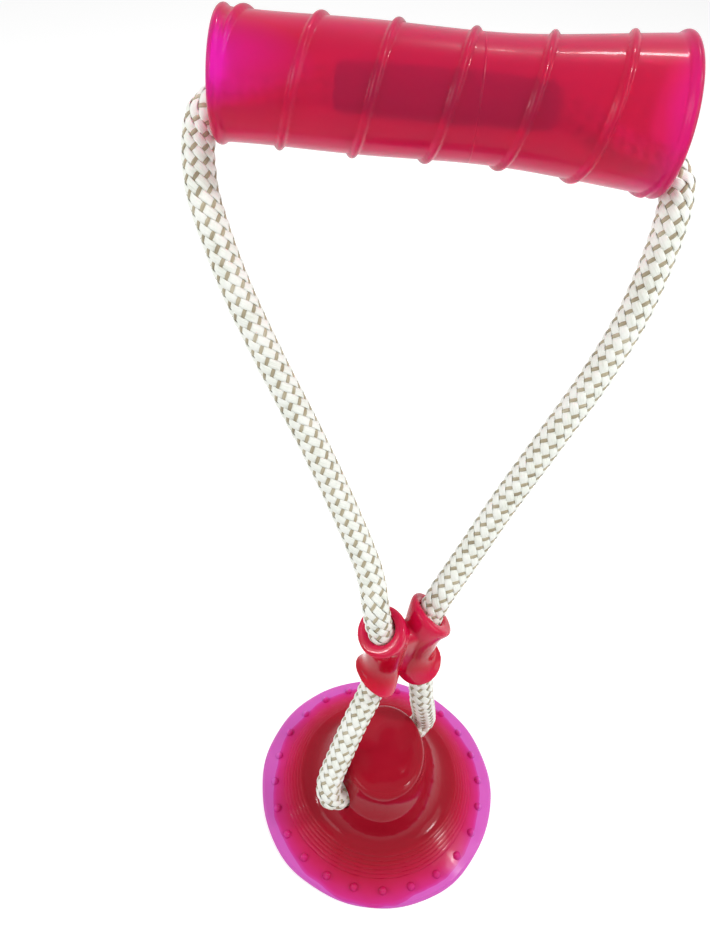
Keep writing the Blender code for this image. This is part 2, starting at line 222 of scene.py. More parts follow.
def smooth_and_cover(tree, geometry, material):
    """A tree's last steps: smooth the skin, make instances real and set the material."""
    rounded = add_node(tree, "GeometryNodeSetShadeSmooth", {"Geometry": geometry}).outputs[0]
    real = add_node(tree, "GeometryNodeRealizeInstances", {"Geometry": rounded}).outputs[0]
    return add_node(tree, "GeometryNodeSetMaterial", {"Geometry": real, "Material": material}).outputs[0]


def run_tree(item, tree, sizes):
    """Set a tree's named inputs by their identifiers, and keep the plain mesh that it makes."""
    modifier = item.modifiers.new(tree.name, "NODES")
    modifier.node_group = tree
    for socket in tree.interface.items_tree:
        if socket.name in sizes:
            modifier[socket.identifier] = sizes[socket.name]
    return take_evaluated_mesh(item)


# %% [markdown]
# The rope is one closed loop. It runs from the splice inside the grip, down to the bead, through
# the bead's two collars and on through the hole in the cup's boss. The CAD model has it as four
# lengths, so the four lengths are repeated here. Each route is listed in millimetres from the cup's
# centre, and a smooth curve is drawn through its points. A rope simulation could find a route too,
# but it would not find the photographed one.

# %% Places
CUP_PLACE = Vector((7.0, -25.6, 0.0)) * MM
BEAD_PLACE = CUP_PLACE + Vector((1.0, 12.9, 92.8)) * MM
GRIP_PLACE = Vector((0.0, 54.4, 262.0)) * MM
BEAD_FRAME = (Matrix.Translation(BEAD_PLACE) @ Matrix.Rotation(math.radians(29.0), 4, "Z")
              @ Matrix.Rotation(math.radians(3.0), 4, "X") @ Matrix.Rotation(math.radians(3.0), 4, "Y"))
GRIP_FRAME = Matrix.Translation(GRIP_PLACE) @ Matrix.Rotation(math.pi / 2, 4, "Y")
HOLE_HEIGHT = 26.0 * MM
HOLE_PLACE = CUP_PLACE + Vector((0.0, 0.0, HOLE_HEIGHT))
HOLE_TURN = math.radians(48.0)
ALONG_HOLE = Vector((math.cos(HOLE_TURN), math.sin(HOLE_TURN), 0.0))

ROPE_DIAMETER = 10.0 * MM
ROPE_STEP = 1.0 * MM
TIGHT_BORE = ROPE_DIAMETER / 2 + 0.15 * MM
BOSS_DIAMETER = 32.0 * MM
SLEEVE_LENGTH = 60.0 * MM
GAP = 0.3 * MM

COLLAR_HEIGHT = 29.4 * MM
COLLAR_WAIST_SPACING = 14.0 * MM
COLLAR_TAPER = 0.5 * MM
COLLAR_SPLAY = 3.3 * MM
COLLAR_SPLAY_POWER = 3.6
COLLAR_BACK = 1.6 * MM
COLLAR_BACK_POWER = 3
ROPE_SPLAY = 3.0 * MM
ROPE_BACK = 0.6 * MM
print("bead at", [round(v / MM, 1) for v in BEAD_PLACE], "mm")
print("grip at", [round(v / MM, 1) for v in GRIP_PLACE], "mm")

# %% Rope routes
ROUTES = {
    "rope_upper_left": (
        (-10.5, 11.4, 117.6), (-12.7, 16.8, 125.0), (-16.6, 21.9, 133.1), (-25.8, 30.7, 148.9),
        (-37.7, 40.0, 168.5), (-50.9, 49.0, 189.5), (-63.1, 58.1, 210.6), (-72.0, 67.0, 230.0),
        (-74.6, 72.6, 238.4), (-75.3, 76.2, 243.4), (-75.2, 78.9, 247.4), (-74.2, 80.8, 250.8),
        (-71.9, 82.0, 253.3), (-68.6, 82.6, 254.6), (-64.4, 82.7, 255.2), (-58.0, 82.4, 256.3),
        (-51.0, 81.6, 258.3), (-44.0, 80.6, 260.7)),
    "rope_upper_right": (
        (12.8, 22.4, 114.8), (16.6, 26.2, 121.9), (20.9, 30.4, 130.4), (29.3, 37.8, 148.6),
        (40.3, 46.2, 171.6), (50.5, 54.4, 193.0), (57.0, 60.8, 211.8), (60.3, 66.8, 228.6),
        (61.1, 70.0, 237.6), (61.2, 72.2, 242.7), (60.5, 74.2, 246.6), (58.2, 76.0, 249.4),
        (54.8, 77.1, 250.8), (50.6, 77.7, 251.5), (44.0, 78.2, 253.0), (36.5, 78.8, 256.2),
        (29.5, 79.6, 260.0)),
    "rope_lower_left": (
        (-9.3, 3.0, 70.0), (-12.3, -1.5, 63.0), (-15.1, -6.2, 55.5), (-17.6, -10.7, 48.0),
        (-19.6, -14.0, 41.5), (-20.7, -16.8, 36.4), (-20.4, -18.5, 32.0), (-18.6, -18.9, 28.4),
        (-15.2, -16.8, 26.4)),
    "rope_lower_right": (
        (10.8, 15.3, 67.9), (12.0, 13.9, 61.2), (12.9, 13.4, 55.5), (14.6, 14.6, 46.5),
        (16.0, 16.3, 38.0), (16.7, 17.5, 31.8), (15.9, 17.1, 27.5), (13.6, 15.0, 26.1)),
}


def side_and_end(name):
    """-1 for a left length and +1 for a right one, then +1 above the bead and -1 below it."""
    return (-1 if name.endswith("left") else 1), (1 if "upper" in name else -1)


def collar_point(side, share, splay=COLLAR_SPLAY):
    """Middle line of a bead collar: side is -1 or +1, share runs from -1 below to +1 above."""
    across = COLLAR_WAIST_SPACING / 2 + COLLAR_TAPER * share + splay * abs(share) ** COLLAR_SPLAY_POWER
    return Vector((side * across, COLLAR_BACK * share ** COLLAR_BACK_POWER, COLLAR_HEIGHT / 2 * share))


def rope_in_collar(side, share):
    """The rope's middle in the bead: it runs aslant, so it lies back in the upper mouth."""
    back = ROPE_BACK * share ** COLLAR_BACK_POWER
    return collar_point(side, share, ROPE_SPLAY) + Vector((0.0, back, 0.0))


def smooth_route(points):
    """Points at most one step apart on a smooth curve through the given points."""
    ends = [2 * points[0] - points[1]] + points + [2 * points[-1] - points[-2]]
    smooth = []
    for before, start, stop, after in zip(ends, ends[1:], ends[2:], ends[3:]):
        parts = math.ceil((stop - start).length / ROPE_STEP)
        for k in range(parts):
            t = k / parts
            smooth.append(0.5 * (2 * start + (stop - before) * t
                                 + (2 * before - 5 * start + 4 * stop - after) * t ** 2
                                 + (3 * start - before - 3 * stop + after) * t ** 3))
    smooth.append(points[-1])
    return smooth


def rope_line(name):
    """A rope length's middle line, from the bead's middle to the sleeve or the boss."""
    side, end = side_and_end(name)
    shares = (end * GAP / COLLAR_HEIGHT, end * 0.3, end * 0.6, end * 0.8, end)
    points = [BEAD_FRAME @ rope_in_collar(side, share) for share in shares]
    points += [CUP_PLACE + Vector(p) * MM for p in ROUTES[name]]
    if end > 0:
        points += [GRIP_PLACE + Vector((side * (SLEEVE_LENGTH / 2 + GAP), 0.0, 0.0)),
                   GRIP_PLACE + Vector((side * GAP / 2, 0.0, 0.0))]
    else:
        points += [HOLE_PLACE + side * ALONG_HOLE * BOSS_DIAMETER / 2,
                   HOLE_PLACE + side * ALONG_HOLE * GAP / 2]
    return smooth_route(points)


def line_length(points):
    return sum((q - p).length for p, q in zip(points, points[1:]))


rope_lines = {name: rope_line(name) for name in ROUTES}
for name, points in rope_lines.items():
    print(name, "is", round(line_length(points) / MM, 1), "mm long")

# %% [markdown]
# The rope's yarn is white, and its tan marker yarns show as small slanted flecks. The filaments
# run along each strand, so the texture reads a "strand" attribute that the braid stores: across the
# strand, along it, and the strand's number. A stretched noise on that attribute gives fine filaments
# that follow every twist, which a texture in plain space can't do. The same noise paints the colour
# darker in the grooves between filaments, as painted shade, and a second noise varies the tone at
# random in patches.

# %% Helpers for materials
def new_material(name):
    material = bpy.data.materials.new(name)
    material.use_nodes = True
    tree = material.node_tree
    return material, tree, tree.nodes["Principled BSDF"]


def colour_ramp(tree, factor, stops):
    """A ramp through (position, linear colour) stops."""
    node = add_node(tree, "ShaderNodeValToRGB", {"Fac": factor})
    elements = node.color_ramp.elements
    while len(elements) < len(stops):
        elements.new(0.5)
    for element, (position, colour) in zip(elements, stops):
        element.position = position
        element.color = (*colour, 1.0)
    return node.outputs["Color"]


def place_from(tree, centre=Vector()):
    """Object coordinates, counted from a piece's centre."""
    place = add_node(tree, "ShaderNodeTexCoord").outputs["Object"]
    return add_node(tree, "ShaderNodeMapping", {"Vector": place, "Location": tuple(-centre)}).outputs[0]


def noise(tree, place, scale, detail, **more):
    return add_node(tree, "ShaderNodeTexNoise",
                    {"Vector": place, "Scale": scale, "Detail": detail, **more}).outputs["Fac"]


def bumpy(tree, height, strength, distance):
    """A normal that follows a height, for relief too fine for the mesh."""
    return add_node(tree, "ShaderNodeBump",
                    {"Height": height, "Strength": strength, "Distance": distance}).outputs["Normal"]


# %% Rope finishes
FILAMENT_STRETCH = (5.0, 260.0, 7.3)


def make_yarn(name, stops, roughness):
    material, tree, shader = new_material(name)
    strand = add_node(tree, "ShaderNodeAttribute", attribute_name="strand").outputs["Vector"]
    stretched = calculate_vector(tree, "MULTIPLY", strand, FILAMENT_STRETCH)
    filament_relief_and_shade = noise(tree, stretched, scale=1.0, detail=3.0)
    patches = noise(tree, place_from(tree), scale=150.0, detail=1.0)
    # Painted shade: the yarn is darker where the filament bump is low, mixed with random patches of tone.
    tone_and_filament_shade = calculate(tree, "ADD", calculate(tree, "MULTIPLY", filament_relief_and_shade, 0.5),
                      calculate(tree, "MULTIPLY", patches, 0.5))
    fill_inputs(tree, shader, {
        "Base Color": colour_ramp(tree, tone_and_filament_shade, stops),
        "Normal": bumpy(tree, filament_relief_and_shade, strength=0.5, distance=0.15 * MM),
        "Roughness": roughness, "Sheen Weight": 0.25, "Sheen Roughness": 0.5})
    return material


white_yarn = make_yarn("white_yarn", ((0.28, (0.70, 0.72, 0.62)), (0.42, (0.88, 0.91, 0.83)),
                                      (0.56, (0.945, 0.965, 0.91))), 0.62)
tan_yarn = make_yarn("tan_yarn", ((0.34, (0.26, 0.22, 0.14)), (0.46, (0.40, 0.34, 0.22)),
                                  (0.58, (0.52, 0.46, 0.32)), (0.68, (0.66, 0.61, 0.48))), 0.7)
print("yarns:", white_yarn.name, tan_yarn.name)

# %% [markdown]
# The braid is a maypole weave: eight tan strands wind one way and eight wider white ones the other.
# At eight columns round the rope the tan strand lies on top, and halfway between them the white one
# does. Both follow from one rule, a wave of the angle round the rope, so Geometry Nodes copies the
# middle line eight times, pushes each copy out to its helix, and sweeps a flat oval along it. The
# tan strands are thinner and lie a little deeper, so they show only as short flecks.

# %% Braid tree
BRAID = {"Lay length": 31.6 * MM, "Strands": 8, "Ring radius": 4.36 * MM, "Weave depth": 0.30 * MM,
         "Tan sink": 0.16 * MM, "White width": 2.75 * MM, "Tan width": 1.25 * MM, "Thickness": 0.66 * MM,
         "Core radius": 4.05 * MM, "Step": 0.6 * MM}
OVAL_POINTS = 8
CORE_POINTS = 12
SET_NUMBER = 10.0


def capture(tree, geometry, **fields):
    """Store fields on a geometry's points before it changes. A field is a (kind, socket) pair."""
    node = add_node(tree, "GeometryNodeCaptureAttribute", domain="POINT")
    for name, (kind, _) in fields.items():
        node.capture_items.new(kind, name)
    tree.links.new(geometry, node.inputs["Geometry"])
    for name, (_, field) in fields.items():
        tree.links.new(field, node.inputs[name])
    return node.outputs


def oval_profile(tree, sizes, width):
    """A strand's flat oval, which keeps each point's place on the round circle as Side."""
    circle = add_node(tree, "GeometryNodeCurvePrimitiveCircle",
                      {"Resolution": OVAL_POINTS, "Radius": 1.0}, mode="RADIUS").outputs["Curve"]
    place = add_node(tree, "GeometryNodeInputPosition").outputs[0]
    kept = capture(tree, circle, Side=("VECTOR", place))
    size = combine(tree, calculate(tree, "DIVIDE", sizes["Thickness"], 2.0),
                   calculate(tree, "DIVIDE", width, 2.0), 1.0)
    oval = add_node(tree, "GeometryNodeTransform", {"Geometry": kept["Geometry"], "Scale": size}).outputs[0]
    return oval, split(tree, kept["Side"])["Y"]


def add_strands(tree, sizes, line, direction, width, sink):
    """One set of strands, wound in a direction of -1 or +1 round the line."""
    run = add_node(tree, "GeometryNodeSplineParameter").outputs["Length"]
    normal = add_node(tree, "GeometryNodeInputNormal").outputs["Normal"]
    tangent = add_node(tree, "GeometryNodeInputTangent").outputs["Tangent"]
    copies = add_node(tree, "GeometryNodeDuplicateElements",
                      {"Geometry": line, "Amount": sizes["Strands"]}, domain="SPLINE").outputs
    number = copies["Duplicate Index"]
    winding = calculate(tree, "DIVIDE", calculate(tree, "MULTIPLY", run, direction), sizes["Lay length"])
    start = calculate(tree, "DIVIDE", number, sizes["Strands"])
    angle = calculate(tree, "MULTIPLY", calculate(tree, "ADD", winding, start), math.tau)
    wave = calculate(tree, "COSINE", calculate(tree, "MULTIPLY", angle, sizes["Strands"]))
    lift = calculate(tree, "MULTIPLY", calculate(tree, "MULTIPLY", wave, direction), sizes["Weave depth"])
    radius = calculate(tree, "SUBTRACT", calculate(tree, "ADD", sizes["Ring radius"], lift), sink)
    across = calculate_vector(tree, "CROSS_PRODUCT", tangent, normal)
    radial = calculate_vector(tree, "ADD", scale_vector(tree, normal, calculate(tree, "COSINE", angle)),
                              scale_vector(tree, across, calculate(tree, "SINE", angle)))
    kept = capture(tree, copies["Geometry"], Radial=("VECTOR", radial), Run=("FLOAT", run),
                   Number=("FLOAT", number), Radius=("FLOAT", radius))
    offset = scale_vector(tree, kept["Radial"], kept["Radius"])
    moved = add_node(tree, "GeometryNodeSetPosition",
                     {"Geometry": kept["Geometry"], "Offset": offset}).outputs[0]
    faced = add_node(tree, "GeometryNodeSetCurveNormal",
                     {"Curve": moved, "Normal": kept["Radial"]}, mode="FREE").outputs[0]
    oval, across_strand = oval_profile(tree, sizes, width)
    swept = add_node(tree, "GeometryNodeCurveToMesh",
                     {"Curve": faced, "Profile Curve": oval, "Fill Caps": True}).outputs[0]
    set_apart = calculate(tree, "ADD", kept["Number"], SET_NUMBER * direction)
    strand = combine(tree, across_strand, kept["Run"], set_apart)
    named = add_node(tree, "GeometryNodeStoreNamedAttribute",
                     {"Geometry": swept, "Name": "strand", "Value": strand},
                     data_type="FLOAT_VECTOR", domain="POINT").outputs[0]
    return add_node(tree, "GeometryNodeStoreNamedAttribute",
                    {"Geometry": named, "Name": "tan", "Value": direction > 0},
                    data_type="BOOLEAN", domain="FACE").outputs[0]


def make_braid_tree():
    tree, sizes, result = new_geometry_tree("maypole_braid", BRAID)
    curve = add_node(tree, "GeometryNodeMeshToCurve", {"Mesh": sizes["Geometry"]}).outputs[0]
    line = add_node(tree, "GeometryNodeResampleCurve", {"Curve": curve, "Length": sizes["Step"]},
                    mode="LENGTH").outputs[0]
    tan = add_strands(tree, sizes, line, 1, sizes["Tan width"], sizes["Tan sink"])
    white = add_strands(tree, sizes, line, -1, sizes["White width"], 0.0)
    core_circle = add_node(tree, "GeometryNodeCurvePrimitiveCircle",
                           {"Resolution": CORE_POINTS, "Radius": sizes["Core radius"]},
                           mode="RADIUS").outputs[0]
    core = add_node(tree, "GeometryNodeCurveToMesh",
                    {"Curve": line, "Profile Curve": core_circle, "Fill Caps": True}).outputs[0]
    joined = add_node(tree, "GeometryNodeJoinGeometry")
    for part in (tan, white, core):
        tree.links.new(part, joined.inputs[0])
    plain = smooth_and_cover(tree, joined.outputs[0], white_yarn)
    is_tan = add_node(tree, "GeometryNodeInputNamedAttribute", {"Name": "tan"},
                      data_type="BOOLEAN").outputs["Attribute"]
    flecked = add_node(tree, "GeometryNodeSetMaterial",
                       {"Geometry": plain, "Selection": is_tan, "Material": tan_yarn}).outputs[0]
    tree.links.new(flecked, result["Geometry"])
    return tree


braid_tree = make_braid_tree()
print("braid tree has", len(braid_tree.nodes), "nodes")

# %% [markdown]
# Each length is braided along its middle line, and the CAD model's length that it replaces is hidden.

# %% Braid the four lengths
for name, points in rope_lines.items():
    links = [(i, i + 1) for i in range(len(points) - 1)]
    rope = run_tree(add_mesh_object(name.replace("rope", "braid"), points, [], links), braid_tree, BRAID)
    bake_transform(rope)
    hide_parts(name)
    print(rope.name, "has", measure(rope))

# %% [markdown]
# The cup is one turned piece of soft clear rubber: a flat boss, a bell that hollows in below it,
# a shoulder of fine steps and a thin lip. It could be modelled by hand or turned by a modifier, but
# a section listed as radius and height keeps every step exact. It is turned about the axis here, and
# afterwards the boss is drawn out to an oval that reaches forward, and the lip is pulled slightly
# out of round, as soft rubber is.

# %% Cup section
CUP_STEPS = 240
CUP_RADIUS = 50.0 * MM
LIP_WIDTH = 2.6 * MM
RIM_THICKNESS = 1.8 * MM
BRIM_RISE = 3.2 * MM
BRIM_WIDTH = 9.5 * MM
BRIM_EDGE_DROP = 0.2 * MM
DOME_DEPTH = 10.5 * MM
RING_COUNT = 6
RING_PITCH = 1.3 * MM
RING_DROP = 1.05 * MM
RING_PROFILE = ((0.04, 0.0), (0.45, 0.16), (0.62, 0.30), (0.74, 0.60), (0.84, 0.92))
BELL_HEIGHT = 27.0 * MM
BELL_HOLLOW_POWER = 2.2
NECK_RADIUS = 18.6 * MM
BOSS_TOP = 42.5 * MM
BOSS_CROWN = 0.25 * MM
BOSS_ROUND = 2.4 * MM
BRIM_TOP = RIM_THICKNESS + BRIM_RISE
SHOULDER_TOP = BRIM_TOP + RING_COUNT * RING_DROP


def arc_points(centre, radius, start, stop, count):
    return [(centre[0] + radius * math.cos(a), centre[1] + radius * math.sin(a))
            for a in np.linspace(math.radians(start), math.radians(stop), count)]


def cup_section():
    """Radius and height, from the boss top down the outside, round the lip and up the hollow."""
    boss_radius = BOSS_DIAMETER / 2
    brim_inner = CUP_RADIUS - BRIM_WIDTH
    shoulder_inner = brim_inner - RING_COUNT * RING_PITCH
    boss_edge = (boss_radius - BOSS_ROUND, BOSS_TOP - BOSS_CROWN - BOSS_ROUND)
    section = [(boss_radius * share, BOSS_TOP - BOSS_CROWN * share ** 4)
               for share in np.linspace(0.0, 0.8, 7)]
    section += arc_points(boss_edge, BOSS_ROUND, 85, 8, 9)
    wall_top = section[-1]
    for share in np.linspace(0.15, 0.9, 8):
        section.append((wall_top[0] + (NECK_RADIUS - wall_top[0]) * share ** 2,
                        wall_top[1] + (BELL_HEIGHT - wall_top[1]) * share))
    bell_run = shoulder_inner - NECK_RADIUS
    bell_rise = BELL_HEIGHT - SHOULDER_TOP
    for share in np.linspace(0.0, 1.0, 30)[:-1]:
        section.append((NECK_RADIUS + bell_run * share,
                        SHOULDER_TOP + bell_rise * (1.0 - share) ** BELL_HOLLOW_POWER))
    for ring in range(RING_COUNT):
        for along, down in RING_PROFILE:
            section.append((shoulder_inner + ring * RING_PITCH + RING_PITCH * along,
                            SHOULDER_TOP - ring * RING_DROP - RING_DROP * down))
    brim_slope = (BRIM_RISE - BRIM_EDGE_DROP) / BRIM_WIDTH
    for share in np.linspace(0.04, 0.9, 8):
        section.append((brim_inner + BRIM_WIDTH * share, BRIM_TOP - BRIM_WIDTH * share * brim_slope))
    rim_round = RIM_THICKNESS / 2
    section += arc_points((CUP_RADIUS - rim_round, rim_round), rim_round, 70, -80, 8)
    lip_inner = CUP_RADIUS - LIP_WIDTH
    section += [(lip_inner * share, DOME_DEPTH * (1.0 - share ** 2))
                for share in np.linspace(1.0, 0.0, 24)]
    return section


def turned_shell(name, section, steps):
    """Turn a closed or pole-to-pole section about Z."""
    angles = np.arange(steps) * math.tau / steps
    vertices = [(radius * math.cos(a), radius * math.sin(a), height)
                for radius, height in section for a in angles]
    faces = []
    for row in range(0, (len(section) - 1) * steps, steps):
        for k in range(steps):
            after = (k + 1) % steps
            faces.append((row + k, row + steps + k, row + steps + after, row + after))
    item = add_mesh_object(name, vertices, faces)
    face_outwards(item)
    return item


cup = turned_shell("cup", cup_section(), CUP_STEPS)
print("cup section has", len(cup_section()), "points, and the cup", measure(cup))

# %% Oval boss and uneven lip
BOSS_DEPTH = 39.4 * MM
BOSS_FORWARD = 3.2 * MM
LIP_WAVE = 0.45 * MM
LIP_WAVES = ((5, 0.6, 1.0), (8, 2.1, 0.6), (13, 0.0, 0.4))
SOFT_FROM = 40.0 * MM

for vertex in cup.data.vertices:
    share = min(1.0, max(0.0, (vertex.co.z - SHOULDER_TOP) / (BELL_HEIGHT - SHOULDER_TOP)))
    vertex.co.y *= 1.0 + share * (BOSS_DEPTH / BOSS_DIAMETER - 1.0)
    vertex.co.y -= share * BOSS_FORWARD
    reach = math.hypot(vertex.co.x, vertex.co.y)
    angle = math.atan2(vertex.co.y, vertex.co.x)
    softness = max(0.0, (reach - SOFT_FROM) / (CUP_RADIUS - SOFT_FROM)) ** 2
    wave = sum(height * math.sin(count * angle + phase) for count, phase, height in LIP_WAVES)
    vertex.co.xy *= 1.0 + LIP_WAVE * softness * wave / CUP_RADIUS / 2
print("cup with its boss drawn out:", measure(cup))

# %% [markdown]
# The rope's hole runs straight through the boss, and the soft rubber closes round the rope. A round
# cutter hardly wider than the rope is subtracted, so no dark gap shows at the hole's two mouths.

# %% Rope hole
CUTTER_REACH = 34.0 * MM
CUTTER_STEPS = 48

cutter_section = [(0.0, -CUTTER_REACH), (TIGHT_BORE, -CUTTER_REACH),
                  (TIGHT_BORE, CUTTER_REACH), (0.0, CUTTER_REACH)]
hole_cutter = turned_shell("hole_cutter", cutter_section, CUTTER_STEPS)
hole_cutter.data.transform(Matrix.Translation((0.0, 0.0, HOLE_HEIGHT))
                           @ Matrix.Rotation(HOLE_TURN, 4, "Z") @ Matrix.Rotation(math.pi / 2, 4, "Y"))
join_or_cut(cup, hole_cutter, "DIFFERENCE")
print("cup after the hole:", measure(cup))

# %% [markdown]
# The clear rubber. Thin places look lighter and more violet than thick ones, because light crosses
# less colour there. The section's thickness depends on the distance from the cup's axis, so a colour
# ramp on that distance, read from Object coordinates, gives the same change in any view. The sides
# and the back are also painted lighter and the front darker, as painted light and shade.

# %% Cup rubber
SIDES_PAINTED_LIGHT = 0.07
BACK_PAINTED_LIGHT = 0.04
CLOUD_THINNER = 0.08


def linear(red, green, blue):
    """Linear colour of a screen colour given as 0 to 255."""
    return tuple(v / 12.92 if v <= 0.04045 else ((v + 0.055) / 1.055) ** 2.4
                 for v in (red / 255, green / 255, blue / 255))


def make_cup_rubber():
    material, tree, shader = new_material("clear_cup_rubber")
    place = place_from(tree, CUP_PLACE)
    sides = split(tree, place)
    reach = measure_vector(tree, "LENGTH", calculate_vector(tree, "MULTIPLY", place, (1.0, 1.0, 0.0)))
    cloud = noise(tree, place, scale=60.0, detail=2.0)
    # Painted light and shade: the sides and the back move towards the lighter, more violet end of the ramp,
    # and the front towards the darker end.
    painted_light_at_sides = calculate(tree, "MULTIPLY", calculate(tree, "ABSOLUTE", sides["X"]),
                         SIDES_PAINTED_LIGHT / CUP_RADIUS)
    painted_light = calculate(tree, "MULTIPLY_ADD", sides["Y"], BACK_PAINTED_LIGHT / CUP_RADIUS, painted_light_at_sides)
    even = calculate(tree, "ADD", painted_light, calculate(tree, "DIVIDE", reach, CUP_RADIUS))
    uneven = calculate(tree, "MULTIPLY_ADD", cloud, CLOUD_THINNER, even)
    stops = ((0.16, linear(176, 24, 46)), (0.40, linear(164, 18, 38)), (0.66, linear(160, 18, 38)),
             (0.74, linear(171, 18, 43)), (0.82, linear(189, 22, 63)), (0.90, linear(206, 33, 95)),
             (0.97, linear(214, 43, 132)), (1.04, linear(216, 66, 168)), (1.12, linear(218, 98, 194)))
    scuffs = noise(tree, place, scale=420.0, detail=6.0, Roughness=0.7)
    fill_inputs(tree, shader, {
        "Base Color": colour_ramp(tree, uneven, stops),
        "Roughness": spread_out(tree, scuffs, (0.35, 0.75), (0.06, 0.18)),
        "Normal": bumpy(tree, cloud, strength=0.25, distance=0.8 * MM),
        "IOR": 1.3, "Specular IOR Level": 0.3, "Transmission Weight": 0.08,
        "Subsurface Weight": 0.2, "Subsurface Radius": (1.0, 0.1, 0.5), "Subsurface Scale": 5.0 * MM})
    return material


cup_rubber = make_cup_rubber()
cover(cup, cup_rubber)
print("cup rubber has", len(cup_rubber.node_tree.nodes), "nodes")

# %% [markdown]
# Twenty-four small bumps stand in a ring on the lip, where a finger peels it off the floor. They
# could be copied one by one, but here one bump is instanced on a circle of points, so that their
# number and ring can change by two inputs.

# %% Lip bumps
NUBS = {"Count": 24, "Ring radius": 44.3 * MM, "Nub radius": 1.65 * MM, "Nub height": 2.4 * MM,
        "Base height": 3.6 * MM, "Turn": math.radians(-1.5)}


def make_nub_tree():
    tree, sizes, result = new_geometry_tree("lip_nubs", NUBS)
    ring = add_node(tree, "GeometryNodeMeshCircle",
                    {"Vertices": sizes["Count"], "Radius": sizes["Ring radius"]},
                    fill_type="NONE").outputs[0]
    half_step = calculate(tree, "DIVIDE", math.pi, sizes["Count"])
    placed = add_node(tree, "GeometryNodeTransform", {
        "Geometry": ring, "Translation": combine(tree, z=sizes["Base height"]),
        "Rotation": combine(tree, z=calculate(tree, "ADD", half_step, sizes["Turn"]))}).outputs[0]
    ball = add_node(tree, "GeometryNodeMeshUVSphere",
                    {"Segments": 16, "Rings": 10, "Radius": 1.0}).outputs["Mesh"]
    nub_size = combine(tree, sizes["Nub radius"], sizes["Nub radius"], sizes["Nub height"])
    spread = add_node(tree, "GeometryNodeInstanceOnPoints",
                      {"Points": placed, "Instance": ball, "Scale": nub_size}).outputs[0]
    tree.links.new(smooth_and_cover(tree, spread, cup_rubber), result["Geometry"])
    return tree


CUP_SHARP_DEGREES = 38
nubs = run_tree(add_mesh_object("lip_nubs", [(0.0, 0.0, 0.0)], []), make_nub_tree(), NUBS)
for item in (cup, nubs):
    item.data.transform(Matrix.Translation(CUP_PLACE))
    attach(item, "cup")
shade(cup, CUP_SHARP_DEGREES)
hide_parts("suction_cup")
print("nubs have", measure(nubs))

# %% [markdown]
# The bead is two trumpet-shaped collars fused side by side, moulded in one piece. Each collar is a
# swept row of circles with a fat rounded lip, and each bore follows the rope, which runs aslant.
# The two are joined with a web, the bores are cut, and a voxel remesh with a little smoothing then
# melts the joints together, as a mould's fillets do. Bevels would do it too, but they fail where
# three curved skins meet.

# %% Bead shape
WAIST_RADIUS = 6.9 * MM
COLLAR_FLARE = 3.4 * MM
COLLAR_LIP = 1.7 * MM
COLLAR_RINGS = 61
COLLAR_SIDES = 72
BORE_REACH = 1.06
WEB_SIZE = (COLLAR_WAIST_SPACING, 9.6 * MM, 26.0 * MM)
WEB_BEVEL = 3.2 * MM
MELT_SIZE = 0.36 * MM
MELT_ROUNDS = 8


def collar_solid(name, side, reach, middle_at, radius_at):
    """A closed solid through circles that stand square to the collar's middle line."""
    vertices, faces = [], []
    for share in np.linspace(-reach, reach, COLLAR_RINGS):
        direction = (collar_point(side, share + 0.01) - collar_point(side, share - 0.01)).normalized()
        across = Vector((direction.z, 0.0, -direction.x))
        middle, radius = middle_at(side, share), radius_at(share)
        for k in range(COLLAR_SIDES):
            a = math.tau * k / COLLAR_SIDES
            vertices.append(middle + across * radius * math.cos(a)
                            + Vector((0.0, radius * math.sin(a), 0.0)))
    last = (COLLAR_RINGS - 1) * COLLAR_SIDES
    for row in range(0, last, COLLAR_SIDES):
        for k in range(COLLAR_SIDES):
            after = (k + 1) % COLLAR_SIDES
            faces.append((row + k, row + after, row + COLLAR_SIDES + after, row + COLLAR_SIDES + k))
    faces += [tuple(range(COLLAR_SIDES))[::-1], tuple(range(last, last + COLLAR_SIDES))]
    item = add_mesh_object(name, vertices, faces)
    face_outwards(item)
    return item


def lip_rounding(share):
    """How far the lip's round edge draws in at a share of the collar's half height."""
    left = max(0.0, (1.0 - abs(share)) * COLLAR_HEIGHT / 2)
    return COLLAR_LIP - math.sqrt(COLLAR_LIP ** 2 - (COLLAR_LIP - left) ** 2) if left < COLLAR_LIP else 0.0


def outer_radius(share):
    return WAIST_RADIUS + COLLAR_FLARE * abs(share) ** 3 - lip_rounding(share)


def bore_radius(share):
    return TIGHT_BORE + lip_rounding(share)


def make_bead():
    web = bmesh.new()
    bmesh.ops.create_cube(web, size=1.0)
    bmesh.ops.scale(web, verts=web.verts, vec=WEB_SIZE)
    bmesh.ops.bevel(web, geom=web.edges[:], offset=WEB_BEVEL, segments=4, profile=0.5, affect="EDGES")
    mesh = bpy.data.meshes.new("bead")
    web.to_mesh(mesh)
    web.free()
    bead = add_object("bead", mesh)
    for side in (-1, 1):
        join_or_cut(bead, collar_solid("collar", side, 1.0, collar_point, outer_radius), "UNION")
    for side in (-1, 1):
        bore = collar_solid("collar_bore", side, BORE_REACH, rope_in_collar, bore_radius)
        join_or_cut(bead, bore, "DIFFERENCE")
    melt = bead.modifiers.new("melt", "REMESH")
    melt.mode = "VOXEL"
    melt.voxel_size = MELT_SIZE
    melt.use_smooth_shade = True
    ease = bead.modifiers.new("ease", "SMOOTH")
    ease.factor = 0.5
    ease.iterations = MELT_ROUNDS
    take_evaluated_mesh(bead)
    bead.data.transform(BEAD_FRAME)
    bead.data.shade_smooth()
    return bead


bead = make_bead()
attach(bead, "bead")
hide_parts("slider_bead")
print("bead has", measure(bead))

# %% [markdown]
# The bead is the same soft rubber in a deeper red, with its outer skin glossy from the mould. The
# gloss is a thin coat over a body that lets some light in, because one rough or smooth skin alone
# would look like paint. Its ends are a little lighter than its waist, where it is thickest.

# %% Bead rubber
WAIST_TO_MOUTH = 14.0 * MM


